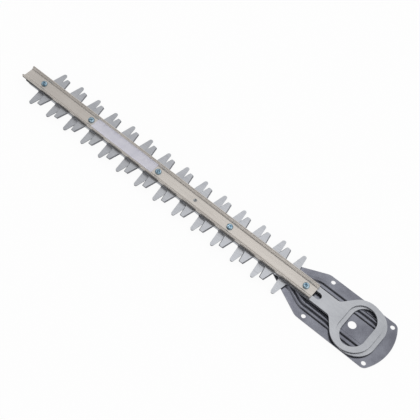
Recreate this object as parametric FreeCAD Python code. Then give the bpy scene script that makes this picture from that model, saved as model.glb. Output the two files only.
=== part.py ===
import FreeCAD, Part
import math
import os

# Double-sided hedge trimmer cutter set, millimetres.
# The origin is the centre of the base plate's middle hole, on the plane that the set lies on.
# X runs along the guide bar to the tip, Z is up.

V = FreeCAD.Vector
UP = V(0, 0, 1)

# Blades
TOOTH_PITCH = 30.0
LONG_TEETH = 14
BLADE_THICKNESS = 1.8
SPINE_WIDTH = 21.2
LONG_TOOTH_REACH = 31.9
LONG_TIP_WIDTH = 4.6
LONG_FLANK_ANGLE = 9.6
LONG_TIP_RADIUS = 2.6
SHORT_TOOTH_REACH = 26.2
SHORT_TIP_WIDTH = 6.4
SHORT_FLANK_ANGLE = 12.3
SHORT_TIP_RADIUS = 1.0
ROOT_RADIUS = 2.6
FIRST_LONG_TOOTH_X = 100.0
SPINE_END_MARGIN = 13.0
SPINE_END_RADIUS = 3.0

# Drive rings of the blades
CAM_OPENING_WIDTH = 34.5
RING_SIDE_WALL = 8.05
RING_END_WALL = 6.7
RING_OVERHANG = 0.2
THROAT_ANGLE = 51.0
THROAT_RADIUS = 7.0

# Travel of a blade from mid stroke, and where each blade lies in its travel
BLADE_TRAVEL = 12.5
UPPER_BLADE_SHIFT = -5.0
LOWER_BLADE_SHIFT = -10.0

# Guide bar
BAR_WIDTH = 20.6
BAR_HEIGHT = 4.8
BAR_FLOOR_THICKNESS = 1.4
BAR_LIP_WIDTH = 1.5
BAR_WALL_ANGLE = 55.0
BAR_FLOOR_RADIUS = 2.0
BAR_FOOT_RADIUS = 0.8
BAR_LIP_OUTER_RADIUS = 0.9
BAR_LIP_INNER_RADIUS = 1.2
BAR_REAR_MARGIN = 12.0
BAR_TIP_MARGIN = 29.0
OIL_HOLE_OFFSET = 53.5
OIL_HOLE_DIAMETER = 2.0
OIL_SINK_DIAMETER = 4.8

# Guide screws, counted from the drive end to the tip
REAR_SCREW_X = 66.0
TEETH_PER_SCREW = 3.75
EVEN_SCREWS = 4
TIP_SCREW_SETBACK = 3.0
SCREW_DIAMETER = 4.0
SCREW_HEAD_DIAMETER = 8.0
SCREW_HEAD_HEIGHT = 2.2
SCREW_DOME_RADIUS = 1.6
RECESS_LENGTH = 4.6
RECESS_WIDTH = 1.2
RECESS_DEPTH = 1.6
RECESS_TURN = 35.0

# What the screws hold
SLEEVE_DIAMETER = 7.6
WASHER_DIAMETER = 12.0
WASHER_THICKNESS = 0.5
NUT_ACROSS_FLATS = 7.0
NUT_HEIGHT = 2.2
NUT_CHAMFER = 0.3

# Base plate
PLATE_THICKNESS = 1.6
PLATE_WIDTH = 68.0
PLATE_REAR_MARGIN = 11.7
PLATE_REAR_BOW_RADIUS = 58.0
PLATE_REAR_CORNER_RADIUS = 8.0
PLATE_SHOULDER_X = 55.0
PLATE_SHOULDER_RADIUS = 16.0
PLATE_NOSE_X = 106.0
PLATE_NOSE_WIDTH = 19.0
PLATE_NOSE_RADIUS = 3.0
MOUNT_HOLE_DIAMETER = 5.5
MOUNT_SIDE_MARGIN = 5.5
MOUNT_REAR_MARGIN = 14.0
MOUNT_SHOULDER_MARGIN = 8.3
CENTRE_HOLE_DIAMETER = 10.0

# Twin raised beads around the middle of the base plate
BEAD_REAR_FLANGE = 14.9
BEAD_SIDE_FLANGE = 9.6
BEAD_TAPER_FLANGE = 7.0
BEAD_WALL_RUN = 2.1
BEAD_CREST_WIDTH = 2.0
BEAD_SPACING = 6.4
BEAD_COUNT = 2
BEAD_CORNER_RADIUS = 13.0
BEAD_SHOULDER_RADIUS = 30.0

# Plain label film inside the channel
LABEL_THICKNESS = 0.15
GLUE_THICKNESS = 0.05
LABEL_MARGIN = 2.0
LABEL_WALL_SHARE = 0.4

# Clearances
BLADE_CLEARANCE = 0.1
SLOT_CLEARANCE = 0.3
SLOT_END_CLEARANCE = 0.3
SCREW_CLEARANCE = 0.15
THREAD_CLEARANCE = 0.02
SCREW_END_RECESS = 0.3

# Levels worked out from the stack of nut, washer, blades and bar
SUPPORT_Z = NUT_HEIGHT + WASHER_THICKNESS
LOWER_BLADE_Z = SUPPORT_Z + BLADE_CLEARANCE
UPPER_BLADE_Z = LOWER_BLADE_Z + BLADE_THICKNESS + BLADE_CLEARANCE
BAR_Z = UPPER_BLADE_Z + BLADE_THICKNESS + BLADE_CLEARANCE
BAR_FLOOR_Z = BAR_Z + BAR_FLOOR_THICKNESS
BAR_TOP_Z = BAR_Z + BAR_HEIGHT
BAR_WALL_RUN = (BAR_TOP_Z - BAR_FLOOR_Z) / math.tan(math.radians(BAR_WALL_ANGLE))
BAR_FLOOR_HALF = BAR_WIDTH / 2 - BAR_LIP_WIDTH - BAR_WALL_RUN
PRESSED_RISE = SUPPORT_Z - PLATE_THICKNESS
BEAD_WIDTH = BEAD_CREST_WIDTH + 2 * BEAD_WALL_RUN

RING_WIDTH = CAM_OPENING_WIDTH + 2 * RING_SIDE_WALL
RING_LENGTH = PLATE_WIDTH + 2 * RING_OVERHANG
CAM_OPENING_LENGTH = RING_LENGTH - 2 * RING_END_WALL

PLATE_REAR_X = -(RING_WIDTH / 2 + BLADE_TRAVEL + PLATE_REAR_MARGIN)
MOUNT_XS = [PLATE_REAR_X + MOUNT_REAR_MARGIN, PLATE_SHOULDER_X - MOUNT_SHOULDER_MARGIN]
MOUNT_Y = PLATE_WIDTH / 2 - MOUNT_SIDE_MARGIN
LONG_TOOTH_XS = [FIRST_LONG_TOOTH_X + TOOTH_PITCH * i for i in range(LONG_TEETH)]
SHORT_TOOTH_XS = [x + TOOTH_PITCH / 2 for x in LONG_TOOTH_XS[:-1]]
SCREW_XS = [REAR_SCREW_X + TEETH_PER_SCREW * TOOTH_PITCH * i for i in range(EVEN_SCREWS)]
SCREW_XS.append(LONG_TOOTH_XS[-1] - TIP_SCREW_SETBACK)
BAR_REAR_X = REAR_SCREW_X - BAR_REAR_MARGIN
BAR_TIP_X = SCREW_XS[-1] + BAR_TIP_MARGIN
OIL_HOLE_X = SCREW_XS[1] + OIL_HOLE_OFFSET

# An edge shorter than this is left out of an outline
TINY = 1e-6


def plan(z):
    """Give the map from an outline's two numbers to a point at height z."""
    return lambda u, v: V(u, v, z)


def section(x):
    """Give the map from an outline's two numbers to a cross-section at x."""
    return lambda u, v: V(x, u, v)


def mirrored(corners):
    """Close an outline by repeating its +Y corners on the -Y side, in reverse."""
    return corners + [(x, -y, r) for x, y, r in reversed(corners)]


def rounded_wire(corners, place):
    """Join corners (u, v, radius) by lines, with an arc of that radius at each corner."""
    count = len(corners)
    flat = [V(u, v, 0) for u, v, _ in corners]
    sides = [flat[(i + 1) % count] - flat[i] for i in range(count)]
    half_angles = [(sides[i - 1] * -1).getAngle(sides[i]) / 2 for i in range(count)]
    cuts = [corners[i][2] / math.tan(half_angles[i]) for i in range(count)]
    shares = [min(1, sides[i].Length / max(cuts[i] + cuts[(i + 1) % count], TINY)) for i in range(count)]
    starts, middles, ends = [], [], []
    for i in range(count):
        cut = cuts[i] * min(shares[i - 1], shares[i])
        back = (sides[i - 1] * -1).normalize()
        ahead = V(sides[i]).normalize()
        reach = cut / math.cos(half_angles[i]) - cut * math.tan(half_angles[i])
        starts.append(flat[i] + back * cut)
        ends.append(flat[i] + ahead * cut)
        middles.append(flat[i] + (back + ahead).normalize() * reach)
    edges = []
    for i in range(count):
        arc = [place(p.x, p.y) for p in (starts[i], middles[i], ends[i])]
        if (arc[0] - arc[2]).Length > TINY:
            edges.append(Part.Arc(*arc).toShape())
        following = starts[(i + 1) % count]
        line = [place(p.x, p.y) for p in (ends[i], following)]
        if (line[0] - line[1]).Length > TINY:
            edges.append(Part.makeLine(*line))
    return Part.Wire(edges)


def prism(corners, z, height):
    """Raise an outline in plan from z by height."""
    return Part.Face(rounded_wire(corners, plan(z))).extrude(UP * height)


def obround(x, y, width, length, z, height):
    """Make a round-ended prism at (x, y): width along X and length along Y."""
    half_w, half_l = width / 2, length / 2
    radius = min(half_w, half_l)
    corners = [(x - half_w, y - half_l, radius), (x + half_w, y - half_l, radius),
               (x + half_w, y + half_l, radius), (x - half_w, y + half_l, radius)]
    return prism(corners, z, height)


def cylinder(x, y, diameter, z, height):
    """Make an upright cylinder."""
    return Part.makeCylinder(diameter / 2, height, V(x, y, z), UP)


def tube(x, outer, inner, z, height):
    """Make an upright tube on the bar's axis."""
    return cylinder(x, 0, outer, z, height).cut(cylinder(x, 0, inner, z, height))


def toothed_strip(tooth_xs, reach, tip_width, flank_angle, tip_radius, rear_x, z):
    """Make the blade's spine with its teeth on both sides."""
    half = SPINE_WIDTH / 2
    half_tip = tip_width / 2
    half_root = half_tip + (reach - half) * math.tan(math.radians(flank_angle))
    end_x = SCREW_XS[-1] + BLADE_TRAVEL + SLOT_END_CLEARANCE + SLEEVE_DIAMETER / 2 + SPINE_END_MARGIN
    side = [(rear_x, half, 0)]
    for x in tooth_xs:
        side += [(x - half_root, half, ROOT_RADIUS), (x - half_tip, reach, tip_radius),
                 (x + half_tip, reach, tip_radius), (x + half_root, half, ROOT_RADIUS)]
    side.append((end_x, half, SPINE_END_RADIUS))
    return prism(mirrored(side), z, BLADE_THICKNESS)


def drive_ring(z):
    """Make the ring around the cam with the throat that carries it on the spine."""
    outer = RING_WIDTH / 2
    centre_y = RING_LENGTH / 2 - outer
    half = SPINE_WIDTH / 2
    turn = math.radians(THROAT_ANGLE)
    tangent = (outer * math.sin(turn), centre_y + outer * math.cos(turn))
    neck_x = (outer + (centre_y - half) * math.cos(turn)) / math.sin(turn)
    throat = [(tangent[0], tangent[1], 0), (neck_x, half, THROAT_RADIUS),
              (neck_x + 2 * THROAT_RADIUS, half, 0)]
    ring = obround(0, 0, RING_WIDTH, RING_LENGTH, z, BLADE_THICKNESS)
    return ring.fuse(prism(mirrored(throat), z, BLADE_THICKNESS))


def blade(tooth_xs, reach, tip_width, flank_angle, tip_radius, z, shift):
    """Make one blade, drawn at mid stroke and then moved along by shift."""
    strip_rear = (CAM_OPENING_WIDTH + RING_SIDE_WALL) / 2
    strip = toothed_strip(tooth_xs, reach, tip_width, flank_angle, tip_radius, strip_rear, z)
    body = drive_ring(z).fuse(strip)
    body = body.cut(obround(0, 0, CAM_OPENING_WIDTH, CAM_OPENING_LENGTH, z, BLADE_THICKNESS))
    slot_width = SLEEVE_DIAMETER + 2 * SLOT_CLEARANCE
    slot_length = SLEEVE_DIAMETER + 2 * (BLADE_TRAVEL + SLOT_END_CLEARANCE)
    slots = [obround(x, 0, slot_length, slot_width, z, BLADE_THICKNESS) for x in SCREW_XS]
    body = body.cut(slots).removeSplitter()
    body.translate(V(shift, 0, 0))
    return body


def guide_bar():
    """Make the channel with its screw holes and the countersunk oil hole."""
    half = BAR_WIDTH / 2
    right = [(half, BAR_Z, BAR_FOOT_RADIUS), (half, BAR_TOP_Z, BAR_LIP_OUTER_RADIUS),
             (half - BAR_LIP_WIDTH, BAR_TOP_Z, BAR_LIP_INNER_RADIUS),
             (BAR_FLOOR_HALF, BAR_FLOOR_Z, BAR_FLOOR_RADIUS)]
    left = [(-y, z, radius) for y, z, radius in reversed(right)]
    face = Part.Face(rounded_wire(right + left, section(BAR_REAR_X)))
    bar = face.extrude(V(BAR_TIP_X - BAR_REAR_X, 0, 0))
    hole_diameter = SCREW_DIAMETER + 2 * SCREW_CLEARANCE
    holes = [cylinder(x, 0, hole_diameter, BAR_Z, BAR_FLOOR_THICKNESS) for x in SCREW_XS]
    holes.append(cylinder(OIL_HOLE_X, 0, OIL_HOLE_DIAMETER, BAR_Z, BAR_FLOOR_THICKNESS))
    sink_depth = min((OIL_SINK_DIAMETER - OIL_HOLE_DIAMETER) / 2, BAR_FLOOR_THICKNESS / 2)
    sink = Part.makeCone(OIL_HOLE_DIAMETER / 2, OIL_SINK_DIAMETER / 2, sink_depth,
                         V(OIL_HOLE_X, 0, BAR_FLOOR_Z - sink_depth), UP)
    return bar.cut(holes + [sink])


def guide_screw(x, number):
    """Make a pan head screw with a cross recess, its head on the channel floor."""
    head, shank = SCREW_HEAD_DIAMETER / 2, SCREW_DIAMETER / 2
    top = BAR_FLOOR_Z + SCREW_HEAD_HEIGHT
    profile = [(0, SCREW_END_RECESS, 0), (shank, SCREW_END_RECESS, 0), (shank, BAR_FLOOR_Z, 0),
               (head, BAR_FLOOR_Z, 0), (head, top, SCREW_DOME_RADIUS), (0, top, 0)]
    face = Part.Face(rounded_wire(profile, lambda u, v: V(u, 0, v)))
    screw = face.revolve(V(0, 0, 0), UP, 360)
    floor = top - RECESS_DEPTH
    arms = [obround(0, 0, w, l, floor, RECESS_DEPTH)
            for w, l in ((RECESS_LENGTH, RECESS_WIDTH), (RECESS_WIDTH, RECESS_LENGTH))]
    point = Part.makeCone(RECESS_WIDTH / 2, RECESS_LENGTH / 2, RECESS_DEPTH, V(0, 0, floor), UP)
    screw = screw.cut(arms[0].fuse(arms[1]).common(point))
    screw.rotate(V(0, 0, 0), UP, RECESS_TURN * number)
    screw.translate(V(x, 0, 0))
    return screw


def guide_sleeve(x):
    """Make the sleeve that spaces the bar from its support and guides the blade slots."""
    bore = SCREW_DIAMETER + 2 * SCREW_CLEARANCE
    return tube(x, SLEEVE_DIAMETER, bore, SUPPORT_Z, BAR_Z - SUPPORT_Z)


def guide_washer(x):
    """Make the washer that carries the lower blade."""
    bore = SCREW_DIAMETER + 2 * SCREW_CLEARANCE
    return tube(x, WASHER_DIAMETER, bore, NUT_HEIGHT, WASHER_THICKNESS)


def guide_nut(x):
    """Make a thin nut that stands on the ground plane, with its corners chamfered."""
    corner = NUT_ACROSS_FLATS / math.sqrt(3)
    corners = [(corner * math.cos(math.radians(60 * i)), corner * math.sin(math.radians(60 * i)), 0)
               for i in range(6)]
    flat = NUT_ACROSS_FLATS / 2
    outside = flat + 2 * NUT_CHAMFER
    profile = [(0, 0, 0), (flat, 0, 0), (outside, NUT_CHAMFER, 0),
               (outside, NUT_HEIGHT - NUT_CHAMFER, 0), (flat, NUT_HEIGHT, 0), (0, NUT_HEIGHT, 0)]
    barrel = Part.Face(rounded_wire(profile, lambda u, v: V(u, 0, v))).revolve(V(0, 0, 0), UP, 360)
    nut = prism(corners, 0, NUT_HEIGHT).common(barrel)
    nut.translate(V(x, 0, 0))
    return nut.cut(cylinder(x, 0, SCREW_DIAMETER + 2 * THREAD_CLEARANCE, 0, NUT_HEIGHT))


def plate_blank():
    """Make the flat outline of the base plate with its bowed rear end."""
    half = PLATE_WIDTH / 2
    bow, corner = PLATE_REAR_BOW_RADIUS, PLATE_REAR_CORNER_RADIUS
    bow_x = PLATE_REAR_X + bow
    corner_x = bow_x - math.sqrt((bow - corner) ** 2 - (half - corner) ** 2)
    out = V(corner_x - bow_x, half - corner, 0).normalize()
    on_bow = V(bow_x, 0, 0) + out * bow
    middle = V(corner_x, half - corner, 0) + (out + V(0, 1, 0)).normalize() * corner
    front = [(corner_x, half, 0), (PLATE_SHOULDER_X, half, PLATE_SHOULDER_RADIUS),
             (PLATE_NOSE_X, PLATE_NOSE_WIDTH / 2, PLATE_NOSE_RADIUS)]
    blank = prism(mirrored(front), 0, PLATE_THICKNESS)

    def flip(point):
        return V(point.x, -point.y, 0)

    side = V(corner_x, half, 0)
    rear = [Part.Arc(side, middle, on_bow).toShape(),
            Part.Arc(on_bow, V(PLATE_REAR_X, 0, 0), flip(on_bow)).toShape(),
            Part.Arc(flip(on_bow), flip(middle), flip(side)).toShape(),
            Part.makeLine(flip(side), side)]
    return blank.fuse(Part.Face(Part.Wire(rear)).extrude(UP * PLATE_THICKNESS)).removeSplitter()


def bead_loop(inset, z):
    """Make the closed outline that lies inside the bead's outer foot by inset."""
    run = PLATE_NOSE_X - PLATE_SHOULDER_X
    drop = (PLATE_WIDTH - PLATE_NOSE_WIDTH) / 2
    slope = math.hypot(run, drop)
    level = (PLATE_SHOULDER_X * drop + PLATE_WIDTH / 2 * run) / slope - BEAD_TAPER_FLANGE - inset
    side_y = PLATE_WIDTH / 2 - BEAD_SIDE_FLANGE - inset
    rear_x = PLATE_REAR_X + BEAD_REAR_FLANGE + inset
    shoulder_x = (level * slope - side_y * run) / drop
    tip_x = level * slope / drop
    corner = BEAD_CORNER_RADIUS - inset
    shoulder = BEAD_SHOULDER_RADIUS - inset
    loop = [(rear_x, -side_y, corner), (shoulder_x, -side_y, shoulder), (tip_x, 0, corner),
            (shoulder_x, side_y, shoulder), (rear_x, side_y, corner)]
    return rounded_wire(loop, plan(z))


def bead_ring(inset, width, z):
    """Make a closed ring along the beads, pressed up from z with both walls leaning in."""
    crest_z = z + PRESSED_RISE
    walls = [Part.makeLoft([bead_loop(foot, z), bead_loop(foot + lean, crest_z)], True, True)
             for foot, lean in ((inset, BEAD_WALL_RUN), (inset + width, -BEAD_WALL_RUN))]
    return walls[0].cut(walls[1])


def base_plate():
    """Make the pressed plate: blank, raised beads with hollow undersides, tapped collar, holes."""
    top = PLATE_THICKNESS
    fold = PLATE_THICKNESS * math.tan(math.atan2(PRESSED_RISE, BEAD_WALL_RUN) / 2)
    insets = [BEAD_SPACING * i for i in range(BEAD_COUNT)]
    beads = [bead_ring(i, BEAD_WIDTH, top) for i in insets]
    hollows = [bead_ring(i + fold, BEAD_WIDTH - 2 * fold, 0) for i in insets]
    collar = cylinder(REAR_SCREW_X, 0, SLEEVE_DIAMETER, 0, SUPPORT_Z)
    plate = plate_blank().fuse(beads).cut(hollows).fuse(collar)
    holes = [cylinder(x, y, MOUNT_HOLE_DIAMETER, 0, top) for x in MOUNT_XS for y in (-MOUNT_Y, MOUNT_Y)]
    holes.append(cylinder(0, 0, CENTRE_HOLE_DIAMETER, 0, top))
    holes.append(cylinder(REAR_SCREW_X, 0, SCREW_DIAMETER + 2 * THREAD_CLEARANCE, 0, SUPPORT_Z))
    return plate.cut(holes).removeSplitter()


def label_film():
    """Make the thin film on the channel floor and up its walls, between the third and fourth screws."""
    slope = math.radians(BAR_WALL_ANGLE)
    up_wall = LABEL_WALL_SHARE * (BAR_TOP_Z - BAR_FLOOR_Z) / math.sin(slope)

    def right_half(lift):
        """Give the film's end and bend at a distance from the channel."""
        bend_y, bend_z = BAR_FLOOR_HALF - lift * math.tan(slope / 2), BAR_FLOOR_Z + lift
        end = (bend_y + up_wall * math.cos(slope), bend_z + up_wall * math.sin(slope), 0)
        return [end, (bend_y, bend_z, BAR_FLOOR_RADIUS - lift)]

    below, above = right_half(GLUE_THICKNESS), right_half(GLUE_THICKNESS + LABEL_THICKNESS)
    lower_side = below + [(-y, z, radius) for y, z, radius in reversed(below)]
    upper_side = [(-y, z, radius) for y, z, radius in above] + list(reversed(above))
    profile = lower_side + upper_side
    clear = SCREW_HEAD_DIAMETER / 2 + LABEL_MARGIN
    start, end = SCREW_XS[2] + clear, SCREW_XS[3] - clear
    return Part.Face(rounded_wire(profile, section(start))).extrude(V(end - start, 0, 0))


def build():
    """Make every piece of the set, by name."""
    pieces = {
        "guide_bar": guide_bar(),
        "upper_blade": blade(SHORT_TOOTH_XS, SHORT_TOOTH_REACH, SHORT_TIP_WIDTH, SHORT_FLANK_ANGLE,
                             SHORT_TIP_RADIUS, UPPER_BLADE_Z, UPPER_BLADE_SHIFT),
        "lower_blade": blade(LONG_TOOTH_XS, LONG_TOOTH_REACH, LONG_TIP_WIDTH, LONG_FLANK_ANGLE,
                             LONG_TIP_RADIUS, LOWER_BLADE_Z, LOWER_BLADE_SHIFT),
        "base_plate": base_plate(),
        "label_film": label_film(),
    }
    for number, x in enumerate(SCREW_XS, start=1):
        pieces[f"guide_screw_{number}"] = guide_screw(x, number)
        pieces[f"guide_sleeve_{number}"] = guide_sleeve(x)
    for number, x in enumerate(SCREW_XS[1:], start=1):
        pieces[f"guide_washer_{number}"] = guide_washer(x)
        pieces[f"guide_nut_{number}"] = guide_nut(x)
    return pieces


os.makedirs("parts", exist_ok=True)
for name, shape in build().items():
    print(name, shape.ShapeType, "solids", len(shape.Solids), "valid", shape.isValid(),
          "volume", round(shape.Volume, 1))
    shape.exportStep(f"parts/{name}.step")
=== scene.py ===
import logging
import math
from dataclasses import dataclass, field
from enum import Enum
from typing import Any

import bpy
from mathutils import Matrix, Vector

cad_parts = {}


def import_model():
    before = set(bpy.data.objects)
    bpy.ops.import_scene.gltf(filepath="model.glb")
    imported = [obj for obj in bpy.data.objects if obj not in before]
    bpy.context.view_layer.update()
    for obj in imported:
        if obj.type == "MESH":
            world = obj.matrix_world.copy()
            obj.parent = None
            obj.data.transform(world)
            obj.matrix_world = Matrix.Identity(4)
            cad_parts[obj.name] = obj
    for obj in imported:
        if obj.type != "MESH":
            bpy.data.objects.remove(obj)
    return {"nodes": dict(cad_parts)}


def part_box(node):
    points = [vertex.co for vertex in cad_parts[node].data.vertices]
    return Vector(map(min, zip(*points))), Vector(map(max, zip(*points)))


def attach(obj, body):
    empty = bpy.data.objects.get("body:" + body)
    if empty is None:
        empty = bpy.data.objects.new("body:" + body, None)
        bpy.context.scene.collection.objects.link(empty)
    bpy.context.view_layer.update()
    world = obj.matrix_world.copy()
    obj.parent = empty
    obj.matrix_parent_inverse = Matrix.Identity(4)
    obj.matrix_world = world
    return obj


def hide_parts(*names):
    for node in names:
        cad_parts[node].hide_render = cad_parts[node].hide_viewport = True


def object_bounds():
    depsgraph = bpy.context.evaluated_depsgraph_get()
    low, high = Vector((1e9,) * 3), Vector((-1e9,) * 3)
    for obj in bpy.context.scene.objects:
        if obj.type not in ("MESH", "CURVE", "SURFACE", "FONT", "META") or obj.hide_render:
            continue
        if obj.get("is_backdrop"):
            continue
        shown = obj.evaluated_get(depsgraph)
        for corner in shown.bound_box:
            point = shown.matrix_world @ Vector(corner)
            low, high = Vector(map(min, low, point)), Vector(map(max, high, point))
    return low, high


LOG = logging.getLogger("cutter_set")
MM = 0.001
WHITE = (1.0, 1.0, 1.0, 1.0)

Tree, Node, Socket = bpy.types.NodeTree, bpy.types.Node, bpy.types.NodeSocket
Source = Node | Socket
Inputs = tuple[Any, ...] | dict[int | str, Any]
Corner = tuple[float, float, float]

# Blender's names for the nodes that are used most, and settings that come often
MATH, VECTORS, RANGE, MIX = "ShaderNodeMath", "ShaderNodeVectorMath", "ShaderNodeMapRange", "ShaderNodeMix"
SPLIT, COMBINE = "ShaderNodeSeparateXYZ", "ShaderNodeCombineXYZ"
NOISE, BUMP = "ShaderNodeTexNoise", "ShaderNodeBump"
ATTRIBUTE, STORE = "GeometryNodeInputNamedAttribute", "GeometryNodeStoreNamedAttribute"
JOIN, MOVE, FILL = "GeometryNodeJoinGeometry", "GeometryNodeTransform", "GeometryNodeFillCurve"
SOFT = {"interpolation_type": "SMOOTHSTEP"}
NUMBERS = {"data_type": "FLOAT"}

# Order numbers round half of a blade's outline. Corners of closed loops have none.
NO_ORDER, RING_ORDER, TOOTH_ORDER, TIP_ORDER = -1.0, 0.0, 100.0, 10000.0
# A tooth's corners are root, tip, tip and root, so the two at the tip lie next to the middle of the four.
TOOTH_CORNERS, MIDDLE_CORNER, TIP_SPAN = 4.0, 1.5, 0.75
# An arc has some points, and more for each millimetre of its radius.
ARC_POINTS, ARC_POINTS_PER_MM = 5.0, 1.2
# Points nearer than this are one point.
WELD_MM = 0.002
# The block that trims the plate reaches well above and below it.
TRIM_HEIGHT_MM, TRIM_DEPTH_MM = 12.0, 4.0
COLLAR_SIDES = 48


class Body(str, Enum):
    """The rigid bodies that the pieces ride on."""

    FRAME = "frame"
    UPPER_BLADE = "upper_blade"
    LOWER_BLADE = "lower_blade"


class GroundFrom(Enum):
    """The face of a blade from which its tooth flanks are ground."""

    ABOVE = "Grind Above"
    BELOW = "Grind Below"


class Role(Enum):
    """What a closed loop of corners stands for in a sheet-metal tree."""

    CUT = 0
    BEAD = 1


def linear(code: str) -> tuple[float, float, float, float]:
    """Turn an sRGB hex colour to linear light.

    Args:
        code: Colour such as "#A0B0C0".

    Returns:
        Red, green, blue and a full alpha.
    """
    values = [int(code[i:i + 2], 16) / 255 for i in (1, 3, 5)]
    lights = [v / 12.92 if v <= 0.04045 else ((v + 0.055) / 1.055) ** 2.4 for v in values]
    return (*lights, 1.0)


def add(tree: Tree, kind: str, inputs: Inputs = (), **settings: Any) -> Node:
    """Add a node with its settings, and set or link its inputs.

    Args:
        tree: Node tree that takes the node.
        kind: Blender's name for the node type.
        inputs: What the inputs take, in order, or by name or place: a value, a socket, a node whose
            first output counts, or a list of these for an input that takes many links.
        settings: Properties of the node.

    Returns:
        The new node.
    """
    node = tree.nodes.new(kind)
    for name, value in settings.items():
        setattr(node, name, value)
    for key, given in inputs.items() if isinstance(inputs, dict) else enumerate(inputs):
        for value in given if isinstance(given, list) else [given]:
            source = value.outputs[0] if isinstance(value, Node) else value
            if isinstance(source, Socket):
                tree.links.new(source, node.inputs[key])
            else:
                node.inputs[key].default_value = source
    return node


@dataclass(frozen=True)
class Finish:
    """A surface finish: two tones, a metallic share and a band of roughness."""

    name: str
    light: str
    dark: str
    metallic: float
    roughness: float
    swing: float

    def material(self) -> bpy.types.Material:
        """Build the finish as a node material.

        Returns:
            The new material.
        """
        made = bpy.data.materials.new(self.name)
        made.use_nodes = True
        tree = made.node_tree
        tree.nodes.clear()
        shader = add(tree, "ShaderNodeBsdfPrincipled", {"Metallic": self.metallic})
        add(tree, "ShaderNodeOutputMaterial", {"Surface": shader})
        self.dress(tree, shader, add(tree, "ShaderNodeTexCoord").outputs["Object"])
        return made

    def dress(self, tree: Tree, shader: Node, place: Socket) -> None:
        """Link the finish's own pattern to the shader.

        Args:
            tree: The material's tree.
            shader: Its main shader.
            place: Object coordinates in metres.
        """
        raise NotImplementedError

    def paint(self, tree: Tree, shader: Node, share: Source, start: Any, end: str) -> None:
        """Mix two colours, and give the result to the shader.

        Args:
            tree: The material's tree.
            shader: Its main shader.
            share: Pattern from 0, the start colour, to 1, the end colour.
            start: Linear colour, or socket that gives it.
            end: Hex colour.
        """
        # Other sockets of this node have the same names, so its colours go by place
        mixed = add(tree, MIX, {0: share, 6: start, 7: linear(end)}, data_type="RGBA")
        tree.links.new(mixed.outputs[2], shader.inputs["Base Color"])

    def tone(self, tree: Tree, shader: Node, share: Source, gloss: Source) -> None:
        """Spread the two tones and the roughness band over two patterns.

        Args:
            tree: The material's tree.
            shader: Its main shader.
            share: Pattern from 0, dark, to 1, light.
            gloss: Pattern from 0, smooth, to 1, rough.
        """
        self.paint(tree, shader, share, linear(self.dark), self.light)
        rough = add(tree, RANGE, (gloss, 0.0, 1.0, self.roughness - self.swing, self.roughness + self.swing))
        tree.links.new(rough.outputs[0], shader.inputs["Roughness"])


@dataclass(frozen=True)
class StreakedFinish(Finish):
    """Metal with directional lines, such as ground, drawn, turned or extruded metal.

    The lines give the eye a soft sheen across them, and broad patches keep a large face from
    looking flat.
    """

    line_mm: tuple[float, float, float]
    patch_mm: float
    depth_mm: float
    anisotropy: float = 0.0
    line_share: float = 0.6
    contrast: tuple[float, float] = (0.33, 0.67)
    relief: float = 0.5

    def dress(self, tree: Tree, shader: Node, place: Socket) -> None:
        """Link the lines, the patches and the shallow relief of the lines.

        Args:
            tree: The material's tree.
            shader: Its main shader.
            place: Object coordinates in metres.
        """
        shader.inputs["Anisotropic"].default_value = self.anisotropy
        per_line = tuple(1 / (size * MM) for size in self.line_mm)
        stretched = add(tree, VECTORS, (place, per_line), operation="MULTIPLY")
        lines = add(tree, NOISE, {"Vector": stretched, "Scale": 1.0, "Detail": 4.0, "Roughness": 0.6})
        patches = add(tree, NOISE, {"Vector": place, "Scale": 1 / (self.patch_mm * MM), "Detail": 3.0,
                                    "Roughness": 0.55})
        cloudy = add(tree, MATH, (patches, 1 - self.line_share), operation="MULTIPLY")
        mixed = add(tree, MATH, (lines, self.line_share, cloudy), operation="MULTIPLY_ADD")
        self.tone(tree, shader, add(tree, RANGE, (mixed, *self.contrast), **SOFT), patches)
        bump = add(tree, BUMP, {"Strength": self.relief, "Distance": self.depth_mm * MM, "Height": lines})
        tree.links.new(bump.outputs[0], shader.inputs["Normal"])


@dataclass(frozen=True)
class SideShadeFinish(StreakedFinish):
    """Streaked metal with painted shade on its low outer sides, most at the tip: a dark colour mixed in where
    shade falls beside the blades.

    Each pair of sizes runs from where there is no painted shade, or the least, to where there is most.
    """

    shade_colour: str = "#2A2826"
    side_mm: tuple[float, float] = (9.5, 10.2)
    height_mm: tuple[float, float] = (9.8, 8.4)
    along_mm: tuple[float, float] = (300.0, 500.0)
    shares: tuple[float, float] = (0.35, 0.97)
    growth: float = 3.0

    def dress(self, tree: Tree, shader: Node, place: Socket) -> None:
        """Link the metal's own pattern, and darken it with painted shade towards its outer sides and its tip.

        Args:
            tree: The material's tree.
            shader: Its main shader.
            place: Object coordinates in metres.
        """
        super().dress(tree, shader, place)
        # Painted shade: a dark colour mixed in on the low outer sides, more towards the tip.
        part = add(tree, SPLIT, (place,)).outputs
        out = add(tree, MATH, (part["Y"],), operation="ABSOLUTE")
        outer = add(tree, RANGE, (out, *(y * MM for y in self.side_mm)), **SOFT)
        low = add(tree, RANGE, (part["Z"], *(z * MM for z in self.height_mm)), **SOFT)
        reached = add(tree, MATH, (outer, low), operation="MULTIPLY")
        along = add(tree, RANGE, (part["X"], *(x * MM for x in self.along_mm)))
        grown = add(tree, MATH, (along, self.growth), operation="POWER")
        darker_towards_tip = add(tree, RANGE, (grown, 0.0, 1.0, *self.shares))
        share = add(tree, MATH, (reached, darker_towards_tip), operation="MULTIPLY")
        self.paint(tree, shader, share, shader.inputs["Base Color"].links[0].from_socket, self.shade_colour)


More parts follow.
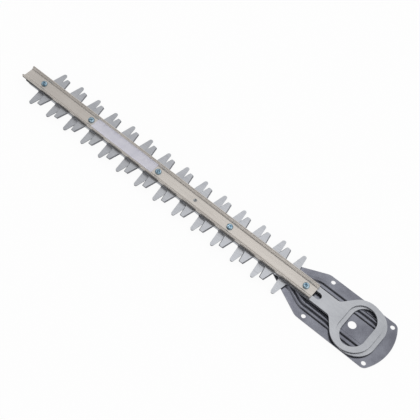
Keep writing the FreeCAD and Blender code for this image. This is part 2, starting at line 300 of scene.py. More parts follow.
@dataclass(frozen=True)
class BarFinish(SideShadeFinish):
    """The bar's finish, with painted shade on its low outer sides and a greyer ring of painted shade in the
    countersink of its lubrication hole.
    """

    sink_shade: str = "#A2A5A6"
    sink_x_mm: float = 232.0
    sink_radius_mm: float = 2.45
    sink_rim_mm: float = 0.3

    def dress(self, tree: Tree, shader: Node, place: Socket) -> None:
        """Link the pattern with its painted shade, and add painted shade in the countersink round the
        lubrication hole.

        Args:
            tree: The material's tree.
            shader: Its main shader.
            place: Object coordinates in metres.
        """
        super().dress(tree, shader, place)
        # Painted shade: a greyer ring over the countersink stands in for the shade on its wall.
        radius = self.sink_radius_mm
        flat = add(tree, VECTORS, (place, (1.0, 1.0, 0.0)), operation="MULTIPLY")
        away = add(tree, VECTORS, (flat, (self.sink_x_mm * MM, 0.0, 0.0)), operation="DISTANCE")
        cut = add(tree, RANGE, (away.outputs["Value"], radius * MM, (radius - self.sink_rim_mm) * MM), **SOFT)
        self.paint(tree, shader, cut, shader.inputs["Base Color"].links[0].from_socket, self.sink_shade)


@dataclass(frozen=True)
class GrainedFinish(Finish):
    """A coat or film with a fine grain and cloudy changes of tone, such as a dip coat or a matt film."""

    grain_mm: float
    cloud_mm: float
    depth_mm: float
    specular: float = 0.5
    cloud_share: float = 0.7
    contrast: tuple[float, float] = (0.35, 0.65)
    relief: float = 0.4

    def dress(self, tree: Tree, shader: Node, place: Socket) -> None:
        """Link the clouds, the grain and its relief.

        Args:
            tree: The material's tree.
            shader: Its main shader.
            place: Object coordinates in metres.
        """
        shader.inputs["Specular IOR Level"].default_value = self.specular
        grain = add(tree, NOISE, {"Vector": place, "Scale": 1 / (self.grain_mm * MM), "Detail": 2.0})
        clouds = add(tree, NOISE, {"Vector": place, "Scale": 1 / (self.cloud_mm * MM), "Detail": 4.0,
                                   "Roughness": 0.6})
        fine = add(tree, MATH, (grain, 1 - self.cloud_share), operation="MULTIPLY")
        mixed = add(tree, MATH, (clouds, self.cloud_share, fine), operation="MULTIPLY_ADD")
        self.tone(tree, shader, add(tree, RANGE, (mixed, *self.contrast), **SOFT), grain)
        bump = add(tree, BUMP, {"Strength": self.relief, "Distance": self.depth_mm * MM, "Height": grain})
        tree.links.new(bump.outputs[0], shader.inputs["Normal"])


# Rolled and ground carbon steel: fine lines along the blade, a cool satin grey.
# The real lines are about 0.1 mm apart and are drawn coarser so that they show.
BLADE_STEEL = StreakedFinish(
    "carbon_steel_ground", "#B4B6BA", "#A1A3A8", metallic=0.85, roughness=0.33, swing=0.06,
    line_mm=(14.0, 0.5, 0.5), patch_mm=22.0, depth_mm=0.02, anisotropy=0.3)
# The same steel on the blanked sides and ground flanks: rougher, and darker as painted shade so that it
# outlines each tooth, with more painted shade at the plain tip end.
SHADED_EDGE_STEEL = SideShadeFinish(
    "carbon_steel_edge_shaded", "#828388", "#6C6D72", metallic=0.4, roughness=0.5, swing=0.06,
    line_mm=(0.5, 2.0, 0.5), patch_mm=9.0, depth_mm=0.01,
    side_mm=(0.0, 5.0), along_mm=(480.0, 500.0), shares=(0.0, 0.95))
# Extruded aluminium, champagne anodised: warm, with faint lengthwise die lines and painted shade on its low
# outer sides.
BAR_ALUMINIUM = BarFinish(
    "anodised_aluminium", "#C8C3BD", "#B9B3AD", metallic=0.8, roughness=0.38, swing=0.05,
    line_mm=(60.0, 0.6, 0.6), patch_mm=30.0, depth_mm=0.005, anisotropy=0.3)
# Steel sheet with a dark dip coat: slate grey with a violet cast, satin, finely grained.
PLATE_COAT = GrainedFinish(
    "coated_steel_slate", "#84868F", "#676871", metallic=0.9, roughness=0.2, swing=0.04,
    grain_mm=0.7, cloud_mm=34.0, depth_mm=0.02)
# Zinc plated steel, blue passivated: bright blue-white, in random patches down to a deep teal that is painted
# shade, standing in for the shade of the cross recess.
ZINC = StreakedFinish(
    "zinc_plated_steel", "#BCD2DE", "#2F5B74", metallic=1.0, roughness=0.16, swing=0.05,
    line_mm=(2.0, 2.0, 2.0), patch_mm=5.0, depth_mm=0.01)
# Turned steel: a soft grey with fine rings around the sleeve's own axis.
SLEEVE_STEEL = StreakedFinish(
    "turned_steel", "#B9B9BA", "#97979A", metallic=1.0, roughness=0.32, swing=0.06,
    line_mm=(6.0, 6.0, 0.25), patch_mm=5.0, depth_mm=0.01)
# Polyester film with a pale matt face coat: nearly white, with a faint violet cast and no shine.
LABEL_FILM = GrainedFinish(
    "polyester_film", "#D9D8E1", "#CDCCD7", metallic=0.0, roughness=0.5, swing=0.06,
    grain_mm=0.5, cloud_mm=12.0, depth_mm=0.005)


def made_plain(piece: bpy.types.Object) -> bpy.types.Mesh:
    """Turn a piece with live modifiers to a plain mesh.

    Args:
        piece: Linked object, which loses its modifiers.

    Returns:
        Its new mesh.
    """
    evaluated = piece.evaluated_get(bpy.context.evaluated_depsgraph_get())
    plain = bpy.data.meshes.new_from_object(evaluated)
    piece.modifiers.clear()
    piece.data = plain
    return plain


class SheetTree:
    """A Geometry Nodes tree with named inputs, and the way to make a plain mesh with it."""

    def __init__(self, name: str, inputs: dict[str, str]) -> None:
        """Start a tree.

        Args:
            name: Name of the tree.
            inputs: Socket type for each named input.
        """
        self.tree = bpy.data.node_groups.new(name, "GeometryNodeTree")
        face = self.tree.interface
        face.new_socket("Geometry", in_out="INPUT", socket_type="NodeSocketGeometry")
        self.identifiers = {key: face.new_socket(key, in_out="INPUT", socket_type=kind).identifier
                            for key, kind in inputs.items()}
        face.new_socket("Geometry", in_out="OUTPUT", socket_type="NodeSocketGeometry")
        self.given = self.tree.nodes.new("NodeGroupInput").outputs

    def add(self, kind: str, inputs: Inputs = (), **settings: Any) -> Node:
        """Add a node to this tree."""
        return add(self.tree, kind, inputs, **settings)

    def rounded(self, curve: Source) -> Node:
        """Round each corner of a curve by its own radius, with more points on a larger arc.

        Args:
            curve: Curve of straight runs, with corner_radius on its points.

        Returns:
            The rounded curve.
        """
        radius = self.add(ATTRIBUTE, {"Name": "corner_radius"}, **NUMBERS)
        points = self.add(MATH, (radius, ARC_POINTS_PER_MM / MM, ARC_POINTS), operation="MULTIPLY_ADD")
        return self.add("GeometryNodeFilletCurve", {"Curve": curve, "Radius": radius, "Count": points,
                                                    "Limit Radius": True}, mode="POLY")

    def solid(self, sheet: Source, height: Any) -> Node:
        """Raise a sheet by a height and close it below.

        Args:
            sheet: Open mesh that faces up.
            height: Number or socket, in metres.

        Returns:
            The closed mesh.
        """
        raised = self.add("GeometryNodeExtrudeMesh", {
            "Mesh": sheet, "Offset": (0.0, 0.0, 1.0), "Offset Scale": height, "Individual": False,
        }, mode="FACES")
        below = self.add("GeometryNodeFlipFaces", {"Mesh": sheet})
        both = self.add(JOIN, ([raised, below],))
        return self.add("GeometryNodeMergeByDistance", {"Geometry": both, "Distance": WELD_MM * MM})

    def finish(self, shape: Source) -> None:
        """End the tree: make instances real and give the shape its material.

        Args:
            shape: What the tree has made.
        """
        real = self.add("GeometryNodeRealizeInstances", {"Geometry": shape})
        dressed = self.add("GeometryNodeSetMaterial", {"Geometry": real, "Material": self.given["Material"]})
        self.add("NodeGroupOutput", (dressed,))

    def mesh(self, name: str, start: bpy.types.Mesh, values: dict[str, Any]) -> bpy.types.Object:
        """Run the tree on a start mesh and keep the result as a plain mesh.

        Args:
            name: Name of the piece.
            start: Mesh with the corners that the tree reads.
            values: Value for each named input.

        Returns:
            A linked object at the origin with the plain mesh.
        """
        piece = bpy.data.objects.new(name, start)
        bpy.context.scene.collection.objects.link(piece)
        modifier = piece.modifiers.new("shape", "NODES")
        modifier.node_group = self.tree
        for key, value in values.items():
            modifier[self.identifiers[key]] = value
        plain = made_plain(piece)
        plain.name = name
        plain.materials.clear()
        plain.materials.append(values["Material"])
        plain.polygons.foreach_set("material_index", [0] * len(plain.polygons))
        return piece


def corner_mesh(name: str, loops: list[tuple[Role, list[Corner]]],
                corners: tuple[tuple[float, Corner], ...] = ()) -> bpy.types.Mesh:
    """Write closed loops, and loose corners of half an outline, as a mesh that a tree can read.

    Args:
        name: Name of the mesh.
        loops: Role and corners (x, y, radius) of each closed loop, in millimetres.
        corners: Order number and corner of each loose corner, in millimetres.

    Returns:
        The mesh, with corner_radius, role and order on its points.
    """
    points, edges, roles = [], [], []
    for role, loop in loops:
        start = len(points)
        edges += [(start + i, start + (i + 1) % len(loop)) for i in range(len(loop))]
        points += [(NO_ORDER, corner) for corner in loop]
        roles += [float(role.value)] * len(loop)
    points += corners
    roles += [float(Role.CUT.value)] * len(corners)
    mesh = bpy.data.meshes.new(name)
    mesh.from_pydata([(x * MM, y * MM, 0.0) for _, (x, y, _) in points], edges, [])
    columns = {"corner_radius": [radius * MM for _, (_, _, radius) in points], "role": roles,
               "order": [order for order, _ in points]}
    for key, values in columns.items():
        mesh.attributes.new(key, "FLOAT", "POINT").data.foreach_set("value", values)
    return mesh


def obround(x: float, y: float, width: float, length: float) -> list[Corner]:
    """Give the corners of a round-ended opening at (x, y), width along X and length along Y."""
    w, l, r = width / 2, length / 2, min(width, length) / 2
    return [(x - w, y - l, r), (x + w, y - l, r), (x + w, y + l, r), (x - w, y + l, r)]


def smooth_by_angle(mesh: bpy.types.Mesh, degrees: float) -> None:
    """Shade a mesh smooth, with edges over an angle kept sharp."""
    mesh.polygons.foreach_set("use_smooth", [True] * len(mesh.polygons))
    mesh.set_sharp_from_angle(angle=math.radians(degrees))


def hand_over(piece: bpy.types.Object, body: Body, slot: str, *nodes: str) -> None:
    """Let a piece ride on its body in place of the solids it stands for.

    Args:
        piece: Finished piece at the origin.
        body: Body that carries it.
        slot: Material slot; not used.
        nodes: Solids that it replaces.
    """
    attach(piece, body.value)
    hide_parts(*nodes)
    LOG.info("%s: %d faces on %s", piece.name, len(piece.data.polygons), body.value)


@dataclass
class ToothedBlade:
    """One stamped blade: drive ring, neck, spine with guide slots, and teeth on both sides."""

    body: Body
    ground: GroundFrom
    teeth: int
    first_tooth_mm: float
    reach_mm: float
    tip_width_mm: float
    flank_deg: float
    tip_radius_mm: float
    pitch_mm: float = 30.0
    spine_width_mm: float = 21.2
    root_radius_mm: float = 2.6
    spine_end_mm: float = 516.6
    end_radius_mm: float = 3.0
    ring_width_mm: float = 50.6
    ring_length_mm: float = 68.4
    opening_mm: tuple[float, float] = (34.5, 55.0)
    throat_deg: float = 51.0
    throat_radius_mm: float = 7.0
    slot_xs_mm: tuple[float, ...] = (66.0, 178.5, 291.0, 403.5, 487.0)
    slot_mm: tuple[float, float] = (33.2, 8.2)
    grind_mm: float = 1.1
    rollover_mm: float = 0.1
    rollover_steps: int = 2
    rim_deg: float = 40.0
    crease_deg: float = 15.0
    root_band_mm: float = 0.6
    flat_normal: float = 0.9

    @classmethod
    def outline_tree(cls) -> SheetTree:
        """Make the tree that sets the teeth along the spine, stamps the blade and grinds its flanks.

        Returns:
            The tree. Its start mesh has the ring's and the tip's corners and the openings' loops.
        """
        lengths = ["Pitch", "First Tooth", "Reach", "Tip Half Width", "Root Half Width", "Spine Half Width",
                   "Root Radius", "Tip Radius", "Thickness", "Grind Above", "Grind Below"]
        t = SheetTree("toothed_blade", {"Teeth": "NodeSocketInt", **dict.fromkeys(lengths, "NodeSocketFloat"),
                                        "Place": "NodeSocketVector", "Material": "NodeSocketMaterial"})
        ground = cls.grind(t, cls.stamp(t))
        t.finish(t.add(MOVE, {"Geometry": ground, "Translation": t.given["Place"]}))
        return t

    @staticmethod
    def stamp(t: SheetTree) -> Node:
        """Add the nodes that lay out the blade's outline and openings and give them a thickness.

        Args:
            t: The tree, with its inputs.

        Returns:
            The blade with upright sides.
        """
        g = t.given
        index, order = t.add("GeometryNodeInputIndex"), t.add(ATTRIBUTE, {"Name": "order"}, **NUMBERS)
        tooth = t.add(MATH, (t.add(MATH, (index, TOOTH_CORNERS), operation="DIVIDE"),), operation="FLOOR")
        corner = t.add(MATH, (index, TOOTH_CORNERS), operation="FLOORED_MODULO")
        at_tip = t.add(MATH, (corner, MIDDLE_CORNER, TIP_SPAN), operation="COMPARE")
        ahead = t.add(MATH, (corner, MIDDLE_CORNER), operation="GREATER_THAN")
        side = t.add(MATH, (ahead, 2.0, -1.0), operation="MULTIPLY_ADD")

        def tip_or_root(tip: str, root: str) -> Node:
            """Choose between a size at the tip and one at the root."""
            more = t.add(MATH, (g[tip], g[root]), operation="SUBTRACT")
            return t.add(MATH, (at_tip, more, g[root]), operation="MULTIPLY_ADD")

        middle = t.add(MATH, (tooth, g["Pitch"], g["First Tooth"]), operation="MULTIPLY_ADD")
        half_width = tip_or_root("Tip Half Width", "Root Half Width")
        x = t.add(MATH, (side, half_width, middle), operation="MULTIPLY_ADD")
        spot = t.add(COMBINE, (x, tip_or_root("Reach", "Spine Half Width")))
        count = t.add(MATH, (g["Teeth"], TOOTH_CORNERS), operation="MULTIPLY")
        half = t.add("GeometryNodePoints", {"Count": count, "Position": spot})
        number = t.add(MATH, (index, TOOTH_ORDER), operation="ADD")
        for name, value in (("corner_radius", tip_or_root("Tip Radius", "Root Radius")), ("order", number)):
            half = t.add(STORE, {"Geometry": half, "Name": name, "Value": value}, domain="POINT", **NUMBERS)
        loose = t.add(MATH, (order, NO_ORDER / 2), operation="GREATER_THAN")
        ends = t.add("GeometryNodeMeshToPoints", {"Mesh": g["Geometry"], "Selection": loose})
        half = t.add(JOIN, ([half, ends],))
        # The mirrored half goes back along the other side, so its order runs down from -1.
        back = t.add(MATH, (-1.0, order), operation="SUBTRACT")
        other = t.add(MOVE, {"Geometry": half, "Scale": (1.0, -1.0, 1.0)})
        other = t.add(STORE, {"Geometry": other, "Name": "order", "Value": back}, domain="POINT", **NUMBERS)
        whole = t.add(JOIN, ([half, other],))
        outline = t.add("GeometryNodePointsToCurves", {"Points": whole, "Weight": order})
        outline = t.add("GeometryNodeSetSplineCyclic", {"Geometry": outline, "Cyclic": True})
        openings = t.add("GeometryNodeMeshToCurve", {"Mesh": g["Geometry"]})
        curves = t.rounded(t.add(JOIN, ([outline, openings],)))
        return t.solid(t.add(FILL, {"Curve": curves}, mode="NGONS"), g["Thickness"])

    @staticmethod
    def grind(t: SheetTree, blade: Source) -> Node:
        """Add the nodes that move the tooth flanks inward at the face they are ground from.

        Args:
            t: The tree, with its inputs.
            blade: The blade with upright sides.

        Returns:
            The blade with ground flanks.
        """
        g = t.given
        spine = g["Spine Half Width"]
        part = t.add(SPLIT, (t.add("GeometryNodeInputPosition"),)).outputs
        from_first = t.add(MATH, (part["X"], g["First Tooth"]), operation="SUBTRACT")
        place = t.add(MATH, (from_first, g["Pitch"]), operation="DIVIDE")
        nearest = t.add(MATH, (place,), operation="ROUND")
        aside = t.add(MATH, (place, nearest), operation="SUBTRACT")
        from_middle = t.add(MATH, (aside, g["Pitch"]), operation="MULTIPLY")
        out = t.add(MATH, (part["Y"],), operation="ABSOLUTE")
        half_width = t.add(RANGE, (out, spine, g["Reach"], g["Root Half Width"], g["Tip Half Width"]))
        root_end = t.add(MATH, (spine, g["Root Radius"]), operation="ADD")
        past_root = t.add(RANGE, (out, spine, root_end), **SOFT)
        # The teeth start half a pitch before the middle of the first one
        past_neck = t.add(MATH, (place, -0.5), operation="GREATER_THAN")
        on_tooth = t.add(MATH, (past_root, past_neck), operation="MULTIPLY")
        mid_plane = t.add(MATH, (g["Thickness"], 0.5), operation="MULTIPLY")
        above = t.add(MATH, (part["Z"], mid_plane), operation="GREATER_THAN")
        more = t.add(MATH, (g["Grind Above"], g["Grind Below"]), operation="SUBTRACT")
        full = t.add(MATH, (above, more, g["Grind Below"]), operation="MULTIPLY_ADD")
        depth = t.add(MATH, (full, on_tooth), operation="MULTIPLY")
        share = t.add(MATH, (from_middle, half_width), operation="DIVIDE")
        inward = t.add(MATH, (share, -1.0), operation="MULTIPLY")
        shift = t.add(COMBINE, (t.add(MATH, (depth, inward), operation="MULTIPLY"),))
        return t.add("GeometryNodeSetPosition", {"Geometry": blade, "Offset": shift})

    def end_corners(self) -> tuple[tuple[float, Corner], ...]:
        """Give the corners on the +Y side of the ring and the neck, and the one at the tip.

        Returns:
            Order number and corner of each, from the rear.
        """
        outer, top, half = self.ring_width_mm / 2, self.ring_length_mm / 2, self.spine_width_mm / 2
        turn = math.radians(self.throat_deg)
        neck_x = (outer + (top - outer - half) * math.cos(turn)) / math.sin(turn)
        ring = [(-outer, top, outer), (outer * math.tan(turn / 2), top, outer),
                (neck_x, half, self.throat_radius_mm)]
        return (*((RING_ORDER + i, corner) for i, corner in enumerate(ring)),
                (TIP_ORDER, (self.spine_end_mm, half, self.end_radius_mm)))

    def build(self, tree: SheetTree, steel: bpy.types.Material) -> bpy.types.Object:
        """Stamp the blade where its solid is.

        Args:
            tree: The tree that outline_tree makes.
            steel: Material of its faces.

        Returns:
            The blade with sharp rims.
        """
        low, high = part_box(self.body.value)
        shift = low.x + self.ring_width_mm / 2 * MM
        loops = [(Role.CUT, obround(0, 0, *self.opening_mm))]
        loops += [(Role.CUT, obround(x, 0, *self.slot_mm)) for x in self.slot_xs_mm]
        start = corner_mesh(f"{self.body.value}_corners", loops, self.end_corners())
        half_tip, half_spine = self.tip_width_mm / 2, self.spine_width_mm / 2
        half_root = half_tip + (self.reach_mm - half_spine) * math.tan(math.radians(self.flank_deg))
        sizes_mm = {"Pitch": self.pitch_mm, "First Tooth": self.first_tooth_mm, "Reach": self.reach_mm,
                    "Tip Half Width": half_tip, "Root Half Width": half_root, "Spine Half Width": half_spine,
                    "Root Radius": self.root_radius_mm, "Tip Radius": self.tip_radius_mm,
                    self.ground.value: self.grind_mm}
        return tree.mesh(f"{self.body.value}_stamping", start, {
            "Teeth": self.teeth, **{key: size * MM for key, size in sizes_mm.items()},
            "Thickness": high.z - low.z, "Place": (shift, 0.0, low.z), "Material": steel})

    def dress(self, piece: bpy.types.Object, edge: bpy.types.Material) -> None:
        """Tell the sides from the faces, give the sides the darker edge material as painted shade, break the
        rims and shade the blade smooth.

        Args:
            piece: The blade with sharp rims.
            edge: Material of the blanked sides and ground flanks, darker as painted shade.
        """
        piece.data.materials.append(edge)
        first = self.first_tooth_mm - self.pitch_mm / 2
        last = first + self.teeth * self.pitch_mm
        root = self.spine_width_mm / 2 + self.root_band_mm
        # Painted shade: upright faces take the darker edge material, except the spine's sides between the
        # teeth, which keep the bright steel.
        for face in piece.data.polygons:
            x, y, _ = face.center / MM
            between_teeth = first < x < last and abs(y) < root
            face.material_index = int(abs(face.normal.z) < self.flat_normal and not between_teeth)
        rims = piece.modifiers.new("rims", "BEVEL")
        rims.limit_method = "ANGLE"
        rims.angle_limit = math.radians(self.rim_deg)
        rims.width = self.rollover_mm * MM
        rims.segments = self.rollover_steps
        smooth_by_angle(made_plain(piece), self.crease_deg)
        hand_over(piece, self.body, "hardened_steel", self.body.value)


@dataclass
class PressedPlate:
    """The pressed base plate: outline, holes, twin beads and the tapped collar."""

    thickness_mm: float = 1.6
    width_mm: float = 68.0
    rear_x_mm: float = -49.5
    bow_radius_mm: float = 58.0
    corner_radius_mm: float = 8.0
    shoulder_mm: tuple[float, float] = (55.0, 16.0)
    nose_mm: tuple[float, float, float] = (106.0, 9.5, 3.0)
    hole_xs_mm: tuple[float, float] = (-35.5, 46.7)
    hole_y_mm: float = 28.5
    hole_diameter_mm: float = 5.5
    centre_diameter_mm: float = 10.0
    collar_x_mm: float = 66.0
    collar_mm: tuple[float, float] = (7.6, 4.04)
    bead_flanges_mm: tuple[float, float, float] = (14.9, 9.6, 7.0)
    bead_insets_mm: tuple[float, float] = (3.4, 9.3)
    bead_radii_mm: tuple[float, float] = (13.0, 30.0)
    bead_crest_mm: float = 0.9
    bead_run_mm: float = 2.4
    bead_clearance_mm: float = 0.06
    grid_mm: float = 0.55
    sheet_margin_mm: float = 2.0
    crease_deg: float = 40.0

    @staticmethod
    def pressing_tree() -> SheetTree:
        """Make the tree that presses the beads into a sheet and trims it to its outline.

        Returns:
            The tree. Its start mesh has the cut lines and the bead lines.
        """
        lengths = ["Length", "Width", "Grid", "Thickness", "Rise", "Crest", "Run", "Collar X",
                   "Collar Radius"]
        t = SheetTree("pressed_plate", {**dict.fromkeys(lengths, "NodeSocketFloat"),
                                        "Centre": "NodeSocketVector", "Material": "NodeSocketMaterial"})
        g = t.given
        role = t.add(ATTRIBUTE, {"Name": "role"}, **NUMBERS)
        is_bead, is_cut = (t.add(MATH, (role, Role.BEAD.value / 2), operation=test)
                           for test in ("GREATER_THAN", "LESS_THAN"))
        beads, cuts = (
            t.rounded(t.add("GeometryNodeMeshToCurve", {"Mesh": g["Geometry"], "Selection": chosen}))
            for chosen in (is_bead, is_cut))
        trim = t.solid(t.add(FILL, {"Curve": cuts}, mode="NGONS"), TRIM_HEIGHT_MM * MM)
        trim = t.add(MOVE, {"Geometry": trim, "Translation": (0.0, 0.0, -TRIM_DEPTH_MM * MM)})
        columns, rows = (t.add(MATH, (g[side], g["Grid"]), operation="DIVIDE")
                         for side in ("Length", "Width"))
        sheet = t.add("GeometryNodeMeshGrid", {"Size X": g["Length"], "Size Y": g["Width"],
                                               "Vertices X": columns, "Vertices Y": rows})
        sheet = t.add(MOVE, {"Geometry": sheet, "Translation": g["Centre"]})
        lines = t.add("GeometryNodeCurveToMesh", {"Curve": beads})
        near = t.add("GeometryNodeProximity", (lines,), target_element="EDGES").outputs["Distance"]
        foot = t.add(MATH, (g["Crest"], g["Run"]), operation="ADD")
        swell = t.add(RANGE, (near, g["Crest"], foot, 1.0, 0.0), **SOFT)
        lift = t.add(COMBINE, {"Z": t.add(MATH, (swell, g["Rise"]), operation="MULTIPLY")})
        sheet = t.add("GeometryNodeSetPosition", {"Geometry": sheet, "Offset": lift})
        pressed = t.solid(sheet, g["Thickness"])
        tall = t.add(MATH, (g["Thickness"], g["Rise"]), operation="ADD")
        half_way = t.add(MATH, (tall, 0.5), operation="MULTIPLY")
        collar = t.add("GeometryNodeMeshCylinder", {"Vertices": COLLAR_SIDES, "Radius": g["Collar Radius"],
                                                    "Depth": tall})
        stand = t.add(COMBINE, {"X": g["Collar X"], "Z": half_way})
        collar = t.add(MOVE, {"Geometry": collar, "Translation": stand})
        plate = pressed
        for operation, other in (("UNION", collar), ("INTERSECT", trim)):
            plate = t.add("GeometryNodeMeshBoolean", {"Mesh 2": [plate, other]}, operation=operation,
                          solver="MANIFOLD")
        t.finish(plate)
        return t

    def outline(self) -> list[Corner]:
        """Give the plate's outline, with the bowed rear end as one wide corner.

        Returns:
            The corners in order.
        """
        half, bow, corner = self.width_mm / 2, self.bow_radius_mm, self.corner_radius_mm
        bow_x = self.rear_x_mm + bow
        corner_x = bow_x - math.sqrt((bow - corner) ** 2 - (half - corner) ** 2)
        out = Vector((corner_x - bow_x, half - corner)).normalized()
        touch = Vector((bow_x, 0)) + out * bow
        along = Vector((-out.y, out.x))
        side_x = touch.x + along.x * (half - touch.y) / along.y
        axis_x = touch.x - along.x * touch.y / along.y
        front = [(side_x, half, corner), (self.shoulder_mm[0], half, self.shoulder_mm[1]), self.nose_mm]
        return front + [(x, -y, r) for x, y, r in reversed(front)] + [(axis_x, 0.0, bow)]

    def bead_line(self, inset: float) -> list[Corner]:
        """Give the middle line of a bead.

        Args:
            inset: Distance of the line inside the outer foot of the beads, in millimetres.

        Returns:
            The corners in order.
        """
        rear, side, taper = self.bead_flanges_mm
        nose_x, nose_y, _ = self.nose_mm
        run, drop = nose_x - self.shoulder_mm[0], self.width_mm / 2 - nose_y
        slope = math.hypot(run, drop)
        level = (self.shoulder_mm[0] * drop + self.width_mm / 2 * run) / slope - taper - inset
        y = self.width_mm / 2 - side - inset
        shoulder_x = (level * slope - y * run) / drop
        tip_x = level * slope / drop
        corner, shoulder = (r - inset for r in self.bead_radii_mm)
        rear_x = self.rear_x_mm + rear + inset
        return [(rear_x, -y, corner), (shoulder_x, -y, shoulder), (tip_x, 0.0, corner),
                (shoulder_x, y, shoulder), (rear_x, y, corner)]

    def build(self, coat: bpy.types.Material) -> bpy.types.Object:
        """Press and trim the plate where its solid is.

        Args:
            coat: Material of its faces.

        Returns:
            The finished plate.
        """
        low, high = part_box("base_plate")
        loops = [(Role.CUT, self.outline())]
        holes = [(x, y, self.hole_diameter_mm)
                 for x in self.hole_xs_mm for y in (-self.hole_y_mm, self.hole_y_mm)]
        holes += [(0.0, 0.0, self.centre_diameter_mm), (self.collar_x_mm, 0.0, self.collar_mm[1])]
        loops += [(Role.CUT, obround(x, y, d, d)) for x, y, d in holes]
        loops += [(Role.BEAD, self.bead_line(inset)) for inset in self.bead_insets_mm]
        margin = self.sheet_margin_mm * MM
        sizes_mm = {"Grid": self.grid_mm, "Thickness": self.thickness_mm, "Crest": self.bead_crest_mm / 2,
                    "Run": self.bead_run_mm, "Collar X": self.collar_x_mm,
                    "Collar Radius": self.collar_mm[0] / 2}
        return self.pressing_tree().mesh("base_plate_pressing", corner_mesh("plate_corners", loops), {
            **{key: size * MM for key, size in sizes_mm.items()},
            "Length": high.x - low.x + margin, "Width": high.y - low.y + margin,
            "Rise": high.z - (self.thickness_mm + self.bead_clearance_mm) * MM,
            "Centre": ((low.x + high.x) / 2, 0.0, 0.0), "Material": coat})

    def dress(self, piece: bpy.types.Object) -> None:
        """Shade the plate and hand it over."""
        smooth_by_angle(piece.data, self.crease_deg)
        hand_over(piece, Body.FRAME, "coated_steel", "base_plate")


@dataclass
class Hardware:
    """The solids that keep their own shape and only take a finish."""

    nodes: dict[str, bpy.types.Object]
    finishes: dict[str, Finish] = field(default_factory=lambda: {
        "guide_bar": BAR_ALUMINIUM, "label_film": LABEL_FILM, "guide_screw": ZINC, "guide_washer": ZINC,
        "guide_nut": ZINC, "guide_sleeve": SLEEVE_STEEL})

    def dress(self) -> None:
        """Give each solid the finish of its kind."""
        made: dict[str, bpy.types.Material] = {}
        for name, node in sorted(self.nodes.items()):
            kind = name.rstrip("_0123456789")
            if kind not in self.finishes:
                continue
            finish = self.finishes[kind]
            if finish.name not in made:
                made[finish.name] = finish.material()
            for slot in node.material_slots:
                slot.material = made[finish.name]
            LOG.info("%s: %s", name, finish.name)


@dataclass(frozen=True)
class DarkZone:
    """A dark stretch of the room: a band of height angles from +Y that ends softly along X."""

    middle_deg: float
    core_deg: float
    edge_deg: float
    middle_x: float
    core_x: float
    edge_x: float

    def shade(self, tree: Tree, angle: Source, x: Socket) -> Node:
        """Give the zone's share of a direction, from 0 outside to 1 in its core.

        Args:
            tree: The world's tree.
            angle: Angle of the direction from upright towards +Y.
            x: Part of the direction along X.

        Returns:
            The node that gives the share.
        """
        sides = ((angle, *(math.radians(d) for d in (self.middle_deg, self.edge_deg, self.core_deg))),
                 (x, self.middle_x, self.edge_x, self.core_x))
        shares = []
        for value, middle, edge, core in sides:
            beside = add(tree, MATH, (value, middle), operation="SUBTRACT")
            away = add(tree, MATH, (beside,), operation="ABSOLUTE")
            shares.append(add(tree, RANGE, (away, edge, core), **SOFT))
        return add(tree, MATH, tuple(shares), operation="MULTIPLY")


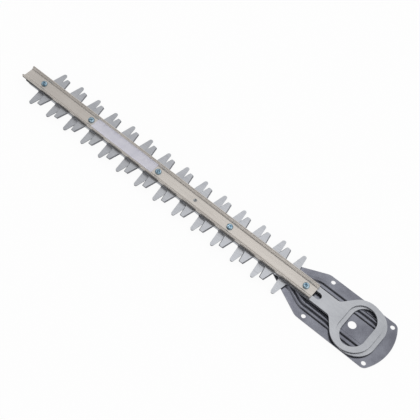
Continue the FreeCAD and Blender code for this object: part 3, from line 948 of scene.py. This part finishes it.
@dataclass
class Studio:
    """The pale floor, the soft light and the camera.

    The four numbers of a sky slope are two parts of a direction and the levels there.
    """

    floor_size: float = 40.0
    floor_drop_mm: float = 0.2
    floor_colour: str = "#F6F6F6"
    floor_glow: float = 0.93
    camera_mm: tuple[float, float, float] = (-89.459, 448.472, 855.989)
    look: tuple[float, float, float] = (0.298099, -0.447630, -0.843068)
    roll_deg: float = -8.297
    focal_px: float = 856.2
    image_px: float = 420.0
    sensor_mm: float = 36.0
    clip: tuple[float, float] = (0.01, 50.0)
    key_aim: tuple[float, float, float] = (0.15, 0.0, 0.0)
    key_direction: tuple[float, float, float] = (0.222, -0.39, 0.893)
    key_distance: float = 1.6
    key_size: float = 0.28
    key_watts: float = 0.6
    sky_across: tuple[float, float, float, float] = (0.6, -0.9, 0.85, 1.12)
    sky_along: tuple[float, float, float, float] = (0.0, 0.6, 1.08, 0.85)
    low_sky_deg: tuple[float, float] = (62.0, 74.0)
    low_sky_along: tuple[float, float, float, float] = (0.45, 0.2, 0.0, 0.85)
    zones: tuple[DarkZone, ...] = (
        DarkZone(middle_deg=46.0, core_deg=13.0, edge_deg=20.0, middle_x=0.25, core_x=0.35, edge_x=0.5),
        DarkZone(middle_deg=24.0, core_deg=16.0, edge_deg=23.0, middle_x=0.0, core_x=0.19, edge_x=0.27))
    zone_depth: float = 0.96

    def floor(self) -> None:
        """Lay the floor: white to the eye and in reflections, with a faint shadow."""
        half = self.floor_size / 2
        mesh = bpy.data.meshes.new("floor")
        corners = [(-half, -half, 0), (half, -half, 0), (half, half, 0), (-half, half, 0)]
        mesh.from_pydata(corners, [], [(0, 1, 2, 3)])
        floor = bpy.data.objects.new("floor", mesh)
        bpy.context.scene.collection.objects.link(floor)
        floor.location.z = -self.floor_drop_mm * MM
        material = bpy.data.materials.new("pale_floor")
        material.use_nodes = True
        tree = material.node_tree
        tree.nodes.clear()
        rays = add(tree, "ShaderNodeLightPath").outputs
        mirrored = add(tree, MATH, (rays["Is Glossy Ray"], rays["Is Transmission Ray"]), operation="MAXIMUM")
        seen = add(tree, MATH, (rays["Is Camera Ray"], mirrored), operation="MAXIMUM")
        share = add(tree, MATH, (seen, self.floor_glow), operation="MULTIPLY")
        paint = add(tree, "ShaderNodeBsdfDiffuse", {"Color": linear(self.floor_colour)})
        glow = add(tree, "ShaderNodeEmission", {"Color": WHITE, "Strength": 1.0})
        mixed = add(tree, "ShaderNodeMixShader", (share, paint, glow))
        add(tree, "ShaderNodeOutputMaterial", {"Surface": mixed})
        mesh.materials.append(material)
        floor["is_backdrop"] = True

    def light(self) -> None:
        """Set an even sky with dark zones where the camera and its stand are, and the key softbox."""
        world = bpy.data.worlds.new("studio")
        bpy.context.scene.world = world
        world.use_nodes = True
        tree = world.node_tree
        tree.nodes.clear()
        part = add(tree, SPLIT, (add(tree, "ShaderNodeTexCoord").outputs["Generated"],)).outputs
        across = add(tree, RANGE, (part["Y"], *self.sky_across))
        along = add(tree, RANGE, (part["X"], *self.sky_along))
        even = add(tree, MATH, (across, along), operation="MULTIPLY")
        angle = add(tree, MATH, (part["Y"], part["Z"]), operation="ARCTAN2")
        shades = tuple(zone.shade(tree, angle, part["X"]) for zone in self.zones)
        darkest = add(tree, MATH, shades, operation="MAXIMUM")
        dimmed = add(tree, MATH, (darkest, self.zone_depth), operation="MULTIPLY")
        left = add(tree, MATH, (1.0, dimmed), operation="SUBTRACT")
        low_sky = add(tree, RANGE, (angle, *(math.radians(d) for d in self.low_sky_deg)))
        low_level = add(tree, RANGE, (part["X"], *self.low_sky_along))
        left = add(tree, MATH, (low_sky, low_level, left), operation="MULTIPLY_ADD")
        level = add(tree, MATH, (left, even), operation="MULTIPLY")
        sky = add(tree, "ShaderNodeBackground", {"Color": WHITE, "Strength": level})
        add(tree, "ShaderNodeOutputWorld", {"Surface": sky})
        lamp = bpy.data.lights.new("key_softbox", "AREA")
        lamp.size = self.key_size
        lamp.energy = self.key_watts
        key = bpy.data.objects.new("key_softbox", lamp)
        bpy.context.scene.collection.objects.link(key)
        aim = Vector(self.key_aim)
        key.location = aim + Vector(self.key_direction) * self.key_distance
        key.rotation_euler = (aim - key.location).to_track_quat("-Z", "Y").to_euler()

    def camera(self) -> None:
        """Stand the camera where the photograph was taken from."""
        data = bpy.data.cameras.new("photo_camera")
        data.sensor_width = self.sensor_mm
        data.sensor_fit = "HORIZONTAL"
        data.lens = self.focal_px / self.image_px * self.sensor_mm
        data.clip_start, data.clip_end = self.clip
        camera = bpy.data.objects.new("photo_camera", data)
        bpy.context.scene.collection.objects.link(camera)
        ahead = Vector(self.look).normalized()
        right = ahead.cross(Vector((0, 0, 1))).normalized()
        level_up = right.cross(ahead)
        roll = math.radians(self.roll_deg)
        up = level_up * math.cos(roll) + right * math.sin(roll)
        turn = Matrix((ahead.cross(up), up, -ahead)).transposed().to_4x4()
        camera.matrix_world = Matrix.Translation(Vector(self.camera_mm) * MM) @ turn
        bpy.context.scene.camera = camera


def main() -> None:
    """Build the looks of the cutter set around its solids."""
    logging.basicConfig(level=logging.INFO, format="%(name)s: %(message)s")
    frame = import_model()
    cad_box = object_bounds()
    bpy.context.scene.view_settings.view_transform = "Standard"
    steel, edge = BLADE_STEEL.material(), SHADED_EDGE_STEEL.material()
    outline = ToothedBlade.outline_tree()
    blades = [
        ToothedBlade(Body.UPPER_BLADE, GroundFrom.ABOVE, teeth=13, first_tooth_mm=115.0, reach_mm=26.2,
                     tip_width_mm=6.4, flank_deg=12.3, tip_radius_mm=1.0),
        ToothedBlade(Body.LOWER_BLADE, GroundFrom.BELOW, teeth=14, first_tooth_mm=100.0, reach_mm=31.9,
                     tip_width_mm=4.6, flank_deg=9.6, tip_radius_mm=2.6, grind_mm=0.45)]
    for blade in blades:
        blade.dress(blade.build(outline, steel), edge)
    plate = PressedPlate()
    plate.dress(plate.build(PLATE_COAT.material()))
    Hardware(frame["nodes"]).dress()
    studio = Studio()
    studio.floor()
    studio.light()
    studio.camera()
    boxes = {"cad": cad_box, "visual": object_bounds()}
    {key: [list(corner) for corner in box] for key, box in boxes.items()}


if __name__ == "__main__":
    main()
